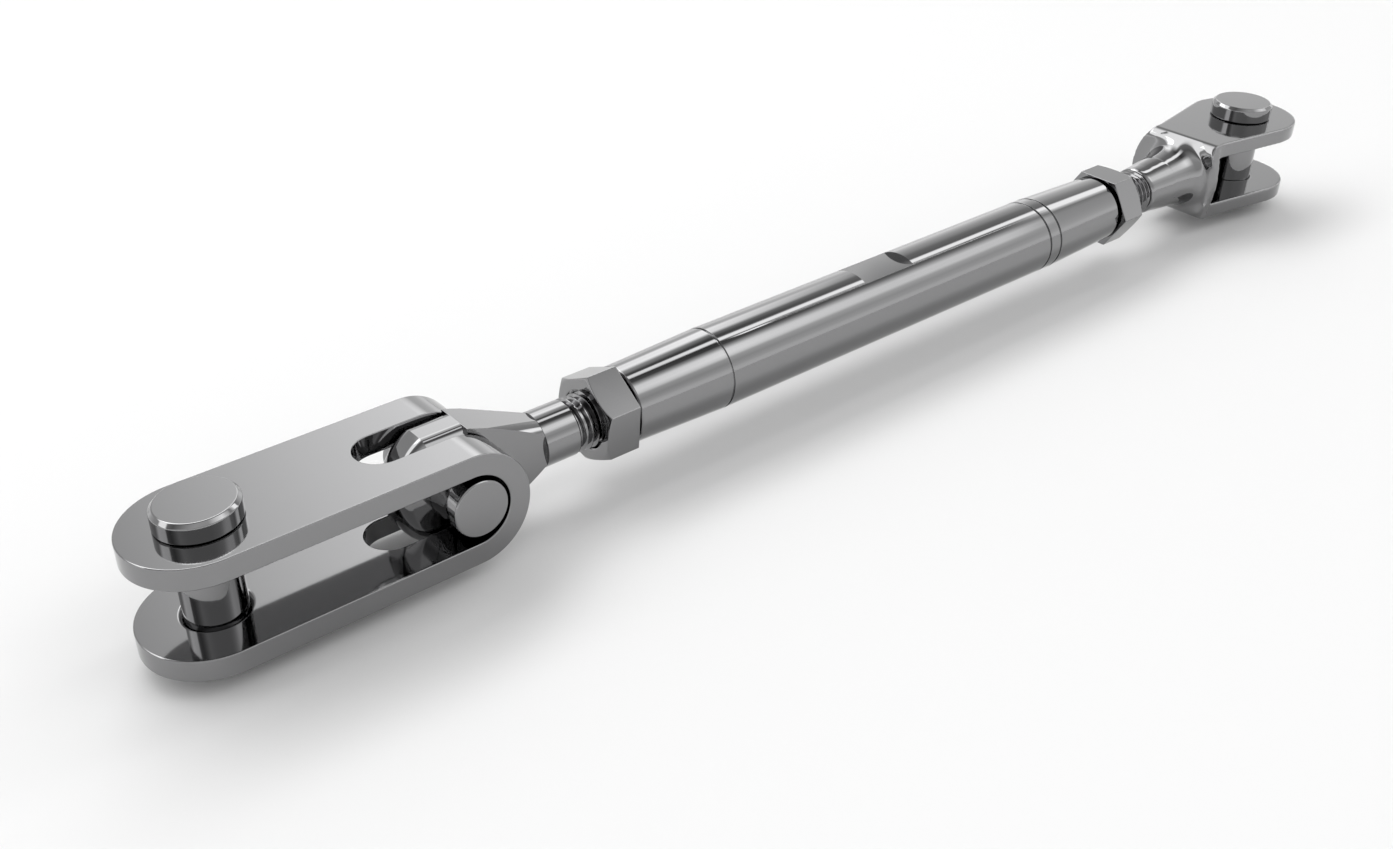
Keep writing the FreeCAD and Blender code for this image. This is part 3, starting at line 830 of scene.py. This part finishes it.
@dataclass
class ForkEnd:
    """The forged fork, its flared neck and its stud, in one piece. Sizes in millimetres."""

    thread: Thread
    x: float = 520.9
    roll: float = 4.0
    half_height: float = 18.2
    inner: float = 11.4
    back: float = 46.5
    throat: float = 41.0
    corner: float = 5.0
    hollow: float = 4.0
    tip: float = 22.9
    waist_half: float = 16.2
    waist_radius: float = 30.0
    flank: float = 10.5
    far_bulge: float = 5.4
    near_bulge: float = 2.4
    bulge_height: float = 16.8
    tip_reach: float = 1.8
    hole: float = 10.05
    hole_bevel: float = 0.15
    clear: float = 12.0
    voxel: float = 0.5
    soften_rounds: int = 4
    blend_rounds: int = 60
    blend_from: float = 21.0
    blend_to: float = 2.0
    blend_share: float = 1.1
    flat_angle: float = 0.15
    neck: tuple[Point, ...] = (
        (-77.5, 0), (-77.5, 10.0), (-76.8, 10.6), (-71, 11.0), (-66, 11.5), (-61, 12.0), (-56, 12.5),
        (-52, 13.1), (-49.5, 13.7), (-47.5, 14.6), (-46, 15.9), (-44.5, 15.9), (-44.5, 0),
    )

    def bar(self) -> bmesh.types.BMesh:
        """The square U of the fork, seen from the side."""
        outer, inner, wide = self.half_height, self.inner, self.tip + self.clear
        bend, hollow = self.corner, self.hollow
        bend_x, hollow_x = bend - self.back, hollow - self.throat
        outline = [
            (wide, inner), (wide, outer), *arc((bend_x, outer - bend), bend, 90, 180, 12),
            *arc((bend_x, bend - outer), bend, 180, 270, 12), (wide, -outer), (wide, -inner),
            *arc((hollow_x, hollow - inner), hollow, 270, 180, 10),
            *arc((hollow_x, inner - hollow), hollow, 180, 90, 10),
        ]
        return prism(outline, Axis.Y, -wide, wide)

    def plan(self) -> bmesh.types.BMesh:
        """What stays of the bar, seen from above: tip, flanks and waist, and the whole web."""
        wide, turn, behind = self.tip + self.clear, 90 + self.flank, -2 * self.back
        throat, waist = -self.throat, self.waist_half + self.waist_radius
        outline = [
            *arc((self.tip_reach, 0), self.tip, turn, -turn, 100),
            *arc((throat, -waist), self.waist_radius, 90 - self.flank, 90, 12),
            (throat, -wide), (behind, -wide), (behind, wide), (throat, wide),
            *arc((throat, waist), self.waist_radius, 270, 270 + self.flank, 12),
        ]
        return prism(outline, Axis.Z, -wide, wide)

    def beside_web(self, side: int) -> bmesh.types.BMesh:
        """What is cut away on one side of the web, which bulges between the plates."""
        high, wide = self.bulge_height, self.tip + self.clear
        bulge = self.far_bulge if side > 0 else self.near_bulge
        radius = (high ** 2 + bulge ** 2) / (2 * bulge)
        swing = math.degrees(math.asin(high / radius))
        bow = arc((self.waist_half + bulge - radius, 0), radius, -swing, swing, 24)
        waist = self.waist_half
        outline = [(waist, -wide), *bow, (waist, wide), (wide, wide), (wide, -wide)]
        return prism([(side * y, z) for y, z in outline], Axis.X, -2 * self.back, -self.throat)

    def blended(self, fork: bpy.types.Object) -> None:
        """Blends the neck into the web and softens every edge, as forging and polishing do."""
        remesh = fork.modifiers.new("blend", "REMESH")
        remesh.mode = "VOXEL"
        remesh.voxel_size = self.voxel * MM
        bake(fork)
        bm = bmesh.new()
        bm.from_mesh(fork.data)
        low, high = (-self.throat - self.blend_from) * MM, (-self.throat - self.blend_to) * MM
        wide = self.half_height * MM * self.blend_share
        junction = [
            vert for vert in bm.verts
            if low < vert.co.x < high and math.hypot(vert.co.y, vert.co.z) < wide
        ]
        for group, rounds in ((bm.verts[:], self.soften_rounds), (junction, self.blend_rounds)):
            for _ in range(rounds):
                bmesh.ops.smooth_vert(
                    bm, verts=group, factor=0.5, use_axis_x=True, use_axis_y=True, use_axis_z=True
                )
        flat = math.radians(self.flat_angle)
        bmesh.ops.dissolve_limit(bm, verts=bm.verts, edges=bm.edges, angle_limit=flat)
        bm.to_mesh(fork.data)
        bm.free()

    def build(self) -> None:
        """Forges the fork, bores it, blends its neck and cuts the thread."""
        fork = piece_from(self.bar(), "fork_end")
        carve(fork, self.plan(), Cut.KEEP)
        for side in (1, -1):
            carve(fork, self.beside_web(side))
        carve(fork, lathe(self.neck, Axis.X), Cut.ADD)
        carve(fork, jaw_drill(self.half_height, self.inner, self.hole, self.hole_bevel, self.tip))
        self.blended(fork)
        turn = Matrix.Rotation(math.radians(self.roll), 4, "X")
        fork.data.transform(Matrix.Translation((self.x * MM, 0, 0)) @ turn)
        with_thread(fork, self.thread)
        dress(fork, MIRROR_STEEL, "fork", "fork_stud", smooth=60.0)


@dataclass
class LockNut:
    """A hexagon nut crowned on its outer face. Sizes in millimetres."""

    name: str
    node: str
    body: str
    face: float
    side: int
    turned: float
    across: float = 29.6
    thickness: float = 13.0
    face_margin: float = 0.3
    crown_drop: float = 1.45
    bore: float = 10.05
    countersink: float = 1.0
    edge: float = 0.25
    clear: float = 3.0

    def build(self) -> None:
        """Forms the hexagon, crowns it and bores it."""
        corner = self.across / math.sqrt(3)
        hexagon = arc((0, 0), corner, self.turned, self.turned + 300, 5)
        inner, outer = sorted((0.0, self.side * self.thickness))
        nut = piece_from(moved(prism(hexagon, Axis.X, inner, outer), self.face), self.name)
        top = self.side * self.thickness
        flat, clear = self.across / 2 - self.face_margin, corner + self.clear
        drop = self.side * self.crown_drop * (clear - flat) / (corner - flat)
        past = top + self.side
        waste = [(top, flat), (past, flat), (past, clear), (top - drop, clear)]
        carve(nut, moved(lathe(waste, Axis.X, closed=True), self.face))
        reach, sink = self.side * self.clear, self.side * self.countersink
        bore, flared = self.bore, self.bore + self.countersink
        drill = lathe([
            (-reach, 0), (-reach, flared), (0, flared), (sink, bore),
            (top - sink, bore), (top, flared), (top + reach, flared), (top + reach, 0),
        ], Axis.X)
        carve(nut, moved(drill, self.face))
        ease_edges(nut, self.edge)
        dress(nut, MIRROR_STEEL, self.body, self.node)


@dataclass
class Barrel:
    """The closed body with its tapered ends, turned marks and spanner flats. Sizes in millimetres."""

    low: float = 151.4
    high: float = 413.4
    radius: float = 15.5
    end_radius: float = 14.3
    taper: float = 40.4
    ring_half: float = 0.5
    ring_depth: float = 0.5
    ring_spacing: float = 6.5
    bevel: float = 0.6
    bore: float = 10.05
    relief: float = 10.8
    threaded: float = 50.0
    flat: float = 13.5
    flat_middle: float = 278.2
    flat_half: float = 13.1
    rounding: float = 0.12
    clear: float = 3.0

    def ring(self, x: float) -> list[Point]:
        """A turned mark in the outside, as profile points."""
        half, deep = self.ring_half, self.radius - self.ring_depth
        return [(x - half, self.radius), (x - half, deep), (x + half, deep), (x + half, self.radius)]

    def build(self) -> None:
        """Turns the body with its bore and mills the flats."""
        low, high = self.low, self.high
        first, last = low + self.taper, high - self.taper
        outside = [(low, self.end_radius - self.bevel), (low + self.bevel, self.end_radius)]
        for mark in (first, last - self.ring_spacing, last):
            outside += self.ring(mark)
        outside += [(high - self.bevel, self.end_radius), (high, self.end_radius - self.bevel)]
        step = self.relief - self.bore
        inside = [
            (high, self.bore), (high - self.threaded, self.bore),
            (high - self.threaded - step, self.relief), (low + self.threaded + step, self.relief),
            (low + self.threaded, self.bore), (low, self.bore),
        ]
        profile = rounded(outside + inside, self.rounding, closed=True)
        barrel = piece_from(lathe(profile, Axis.X, closed=True), "barrel")
        near, far = self.flat_middle - self.flat_half, self.flat_middle + self.flat_half
        wide = self.radius + self.clear
        for low_z, high_z in ((self.flat, wide), (-wide, -self.flat)):
            carve(barrel, box((near, -wide, low_z), (far, wide, high_z)))
        dress(barrel, MIRROR_STEEL, "tube", "screw_body")


@dataclass
class Viewpoint:
    """The camera, placed as the photograph was taken."""

    azimuth: float = -32.653
    elevation: float = 25.234
    roll: float = -4.169
    target: Place = (0.14505, 0.031724, 0.035214)
    distance: float = 0.48983
    focal_pixels: float = 1384.145
    image_width: int = 1393
    centre_pixels: Point = (-151.772, -133.717)
    sensor_width: float = 36.0
    clip: Point = (0.01, 40.0)

    def build(self) -> None:
        """Makes the camera and sets it as the scene's own."""
        turn, tilt, roll = (math.radians(v) for v in (self.azimuth, self.elevation, self.roll))
        back = Vector((
            math.sin(turn) * math.cos(tilt), -math.cos(turn) * math.cos(tilt), math.sin(tilt)
        ))
        level = Vector((0, 0, 1)).cross(back).normalized()
        upright = back.cross(level)
        right = level * math.cos(roll) + upright * math.sin(roll)
        up = upright * math.cos(roll) - level * math.sin(roll)
        data = bpy.data.cameras.new("camera")
        data.sensor_width = self.sensor_width
        data.lens = self.focal_pixels / self.image_width * data.sensor_width
        data.shift_x = -self.centre_pixels[0] / self.image_width
        data.shift_y = self.centre_pixels[1] / self.image_width
        data.clip_start, data.clip_end = self.clip
        camera = stand("camera", data)
        turned = Matrix((right, up, back)).transposed().to_4x4()
        place = Vector(self.target) + back * self.distance
        camera.matrix_world = Matrix.Translation(place) @ turned
        bpy.context.scene.camera = camera


@dataclass
class Studio:
    """A pale floor in a room of long soft boxes that lie along the screw."""

    floor_size: float = 14.0
    floor_middle: float = 0.26
    floor_gap: float = 0.0001
    floor_colour: float = 0.80
    strength: float = 0.88
    horizon: float = 1.5
    lamp_place: Place = (0.1, 0.85, 1.05)
    lamp_aim: Place = (0.26, 0.0, 0.0)
    lamp_size: Point = (1.0, 0.3)
    lamp_power: float = 2.3
    horizon_blend: Point = (0.04, 0.16)
    near_blend: Point = (0.12, 0.55)
    far_blend: Point = (0.55, 0.67)
    end_blend: Point = (0.735, 0.765)
    back_bands: tuple[Point, ...] = (
        (0, 1.5), (12, 1.3), (20, 0.8), (45, 0.9), (60, 1.1), (75, 0.6), (90, 0.3), (108, 0.5),
        (113, 3.2), (135, 3.2), (141, 0.8), (155, 0.85), (170, 1.2), (180, 1.5),
    )
    near_bands: tuple[Point, ...] = (
        (0, 1.5), (10, 1.4), (14, 1.2), (26, 0.95), (38, 1.25), (44, 2.5), (52, 3.1), (63, 2.9),
        (72, 1.0), (79, 0.15), (90, 0.1), (94, 3.4), (100, 3.4), (103, 0.15), (112, 0.15),
        (122, 0.7), (131, 3.4), (149, 3.4), (157, 1.3), (168, 1.15), (180, 1.8),
    )
    far_bands: tuple[Point, ...] = (
        (0, 1.5), (10, 1.4), (14, 1.25), (26, 1.1), (38, 1.4), (46, 2.3), (60, 2.3), (74, 0.8),
        (80, 0.4), (89, 0.35), (93, 3.5), (101, 3.5), (105, 0.4), (122, 0.5), (134, 0.85),
        (148, 1.1), (158, 1.3), (170, 1.6), (180, 1.9),
    )
    end_bands: tuple[Point, ...] = (
        (0, 1.6), (10, 1.5), (14, 1.35), (26, 1.2), (38, 1.1), (60, 1.0), (74, 0.7), (82, 2.0),
        (86, 3.5), (100, 3.5), (105, 0.6), (122, 0.8), (134, 1.1), (148, 1.3), (170, 1.9), (180, 2.0),
    )

    @staticmethod
    def ramp(nodes: bpy.types.Nodes, bands: Sequence[Point]) -> bpy.types.Node:
        """A colour ramp of the bands' strengths.

        Args:
            nodes: the tree's nodes.
            bands: angle in degrees up from the front horizon over the top, and strength there.

        Returns:
            The ramp, whose factor 1 is the back horizon.
        """
        made = nodes.new("ShaderNodeValToRGB")
        stops = made.color_ramp.elements
        while len(stops) < len(bands):
            stops.new(0.5)
        for stop, (angle, _) in zip(stops, bands):
            stop.position = angle / 180
        for stop, (_, level) in zip(stops, bands):
            stop.color = grey(level)
        return made

    def room(self) -> None:
        """Makes the world: bands overhead, and white at the horizon and below it."""
        world = bpy.data.worlds.new("room")
        world.use_nodes = True
        tree = world.node_tree
        nodes, links = tree.nodes, tree.links
        sky = next(node for node in nodes if node.type == "BACKGROUND")
        sky.inputs["Strength"].default_value = self.strength
        place = nodes.new("ShaderNodeTexCoord")
        parts = nodes.new("ShaderNodeSeparateXYZ")
        links.new(place.outputs["Generated"], parts.inputs[0])
        front = reckon(tree, "MULTIPLY", parts.outputs["Y"], -1.0)
        angle = reckon(tree, "ARCTAN2", parts.outputs["Z"], front)
        share = reckon(tree, "DIVIDE", angle, math.pi)
        ramps = [
            self.ramp(nodes, strengths)
            for strengths in (self.back_bands, self.near_bands, self.far_bands, self.end_bands)
        ]
        for ramp in ramps:
            links.new(share, ramp.inputs["Fac"])
        bands = ramps[0].outputs[0]
        for ramp, limits in zip(ramps[1:], (self.near_blend, self.far_blend, self.end_blend)):
            bands = self.blend(tree, parts.outputs["X"], limits, bands, ramp.outputs[0])
        white = nodes.new("ShaderNodeRGB")
        white.outputs[0].default_value = grey(self.horizon)
        whole = self.blend(tree, parts.outputs["Z"], self.horizon_blend, white.outputs[0], bands)
        links.new(whole, sky.inputs["Color"])
        bpy.context.scene.world = world

    @staticmethod
    def blend(
        tree: bpy.types.NodeTree, value: bpy.types.NodeSocket, limits: Point,
        first: bpy.types.NodeSocket, second: bpy.types.NodeSocket,
    ) -> bpy.types.NodeSocket:
        """A mix that goes from one colour to another as a value rises.

        Args:
            tree: the node tree.
            value: the value that rises.
            limits: the value up to which the first colour stays pure, and the value from
                which the second is.
            first: the first colour.
            second: the second colour.

        Returns:
            The mixed colour's socket.
        """
        step = tree.nodes.new("ShaderNodeMapRange")
        step.inputs["From Min"].default_value, step.inputs["From Max"].default_value = limits
        tree.links.new(value, step.inputs["Value"])
        mix = tree.nodes.new("ShaderNodeMix")
        mix.data_type = "RGBA"
        colours = [socket for socket in mix.inputs if socket.type == "RGBA"]
        tree.links.new(step.outputs[0], mix.inputs["Factor"])
        tree.links.new(first, colours[0])
        tree.links.new(second, colours[1])
        return next(socket for socket in mix.outputs if socket.type == "RGBA")

    def floor(self) -> None:
        """Lays the floor under the object's lowest point."""
        bm = bmesh.new()
        bmesh.ops.create_grid(bm, x_segments=1, y_segments=1, size=self.floor_size / 2)
        lowest = CAD_BOX[0][2]
        place = (self.floor_middle, 0.0, lowest - self.floor_gap)
        bmesh.ops.translate(bm, verts=bm.verts, vec=place)
        mesh = bpy.data.meshes.new("floor")
        bm.to_mesh(mesh)
        bm.free()
        ground = stand("floor", mesh)
        paint = bpy.data.materials.new("floor_paint")
        paint.use_nodes = True
        shader = next(node for node in paint.node_tree.nodes if node.type == "BSDF_PRINCIPLED")
        shader.inputs["Base Color"].default_value = grey(self.floor_colour)
        shader.inputs["Roughness"].default_value = 1.0
        shader.inputs["Specular IOR Level"].default_value = 0.0
        mesh.materials.append(paint)

    def lamp(self) -> None:
        """Hangs the soft box that throws the shadow, above and behind the screw."""
        light = bpy.data.lights.new("soft_box", "AREA")
        light.shape = "RECTANGLE"
        light.size, light.size_y = self.lamp_size
        light.energy = self.lamp_power
        soft_box = stand("soft_box", light)
        place, aim = Vector(self.lamp_place), Vector(self.lamp_aim)
        turned = (place - aim).to_track_quat("Z", "Y").to_matrix().to_4x4()
        soft_box.matrix_world = Matrix.Translation(place) @ turned

    def build(self) -> None:
        """Makes the room, its floor and its lamp."""
        self.room()
        self.floor()
        self.lamp()
        bpy.context.scene.view_settings.view_transform = "Standard"


EYE_THREAD = Thread(start=129.3, end=231.2, hand=Hand.RIGHT)
FORK_THREAD = Thread(start=333.6, end=443.0, hand=Hand.LEFT)


def main() -> None:
    """Builds the pieces in order, then the camera and the studio."""
    logging.basicConfig(level=logging.INFO, format="%(name)s %(message)s")
    Viewpoint().build()
    Strap().build()
    ClevisPin(
        "toggle_clevis_pin", "toggle_pin", "toggle_clevis",
        x=0.0, half_height=19.7, head_radius=13.6, head_height=6.7,
    ).build()
    CrossPin().build()
    EyeEnd(EYE_THREAD).build()
    LockNut(
        "near_nut", "near_lock_nut", "near_nut", face=149.9, side=-1, turned=37.0, thickness=13.5
    ).build()
    Barrel().build()
    LockNut("far_nut", "far_lock_nut", "far_nut", face=414.9, side=1, turned=4.5).build()
    ForkEnd(FORK_THREAD).build()
    ClevisPin(
        "fork_clevis_pin", "fork_pin", "fork_clevis",
        x=520.9, half_height=18.2, head_radius=12.8, head_height=7.1, roll=4.0,
    ).build()
    for node in ("toggle_split_pin", "fork_split_pin"):
        keep_node(node, BRIGHT_WIRE)
    Studio().build()


if __name__ == "__main__":
    main()
